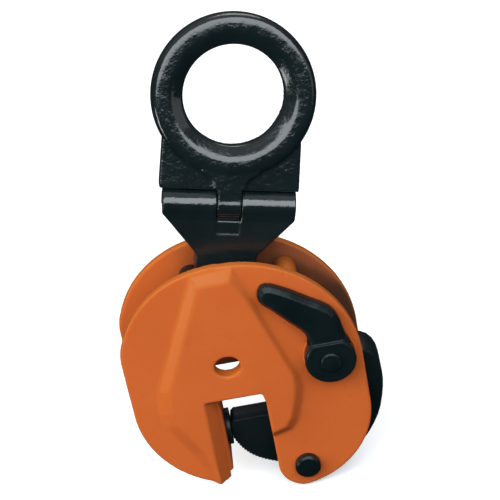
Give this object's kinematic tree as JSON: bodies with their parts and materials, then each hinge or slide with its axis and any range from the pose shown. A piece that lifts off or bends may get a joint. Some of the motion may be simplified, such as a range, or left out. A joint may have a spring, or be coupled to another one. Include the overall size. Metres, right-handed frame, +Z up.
{
  "type": "plate lifting clamp",
  "caption": "Vertical plate lifting clamp with pressed side plates, a toothed cam jaw, a swivel pad, a lock lever and a folding lifting eye.",
  "frame": {"origin": "centre of the lifting eye's bore", "axes": "+Z up along the jaw slot, plates in the XZ plane, +X towards the cam tail, front face (lock lever) towards -Y"},
  "size_m": [0.1757, 0.0875, 0.3437],
  "materials": {
    "orange_paint": "glossy powder coat",
    "black_paint": "high-gloss enamel over a forged surface",
    "black_machined": "semi-gloss black over machined steel",
    "zinc_steel": "zinc-plated, satin",
    "bronze": "machined bearing bronze",
    "spring_steel": "drawn spring wire, oiled"
  },
  "bodies": {
    "eye": {"lifting_ring": "black_paint"},
    "shackle": {"shackle_plate": "black_paint", "hinge_pin": "black_machined"},
    "lift_carrier": {"lift_pin": "zinc_steel", "lift_pin_rings": "spring_steel"},
    "links": {"front_link_plate": "black_machined", "rear_link_plate": "black_machined"},
    "clamp_body": {"front_side_plate": "orange_paint", "rear_side_plate": "orange_paint", "jaw_block": "orange_paint", "cam_pivot_pin": "black_paint", "pivot_washer": "zinc_steel", "pivot_ring": "spring_steel", "pivot_spacers": "zinc_steel", "right_spacer": "orange_paint", "guide_studs": "black_paint", "lever_boss": "orange_paint", "shaft_bushes": "bronze", "tension_spring": "spring_steel"},
    "cam_arm": {"cam": "black_machined", "cam_bush": "bronze", "spring_anchor_pin": "zinc_steel", "link_cam_pin": "zinc_steel"},
    "lever_arm": {"lock_lever": "black_paint", "lever_cap": "black_paint", "lever_shaft": "zinc_steel", "shaft_washer": "zinc_steel", "shaft_ring": "spring_steel", "lock_crank": "black_machined", "crank_pin": "zinc_steel"},
    "pad": {"swivel_pad": "black_machined", "pad_ring": "spring_steel"}
  },
  "joints": [
    {"name": "ring_fold", "type": "hinge", "parent": "eye", "child": "shackle", "pos_m": [-0.0165, -0.02348, -0.06821], "axis": [0.972, 0, -0.2351], "range_deg": [-93.5, 56.5]},
    {"name": "shackle_swing", "type": "hinge", "parent": "shackle", "child": "lift_carrier", "pos_m": [-0.0179, -0.02348, -0.13111], "axis": [0, 1, 0], "range_deg": [-1.4, 28.6]},
    {"name": "shackle_lift", "type": "slide", "parent": "lift_carrier", "child": "clamp_body", "axis": [0, 0, 1], "range_m": [0, 0.0192]},
    {"name": "link_swing", "type": "hinge", "parent": "lift_carrier", "child": "links", "pos_m": [-0.0179, -0.02348, -0.13111], "axis": [0, 1, 0], "range_deg": [-4.7, 0]},
    {"name": "cam_turn", "type": "hinge", "parent": "clamp_body", "child": "cam_arm", "pos_m": [0.0036, -0.02348, -0.27191], "axis": [0, 1, 0], "range_deg": [0, 45], "deforming": ["tension_spring"]},
    {"name": "lever_turn", "type": "hinge", "parent": "clamp_body", "child": "lever_arm", "pos_m": [0.0326, -0.02348, -0.18351], "axis": [0, 1, 0], "range_deg": [0, 80], "deforming": ["tension_spring"]},
    {"name": "pad_spin", "type": "hinge", "parent": "clamp_body", "child": "pad", "pos_m": [-0.0489, -0.02348, -0.24471], "axis": [1, 0, 0], "continuous": true}
  ],
  "couplings": [
    {"joint": "cam_turn", "follows": "shackle_lift", "rad_per_m": 40.815},
    {"joint": "link_swing", "follows": "shackle_lift", "rad_per_m": -4.14}
  ]
}
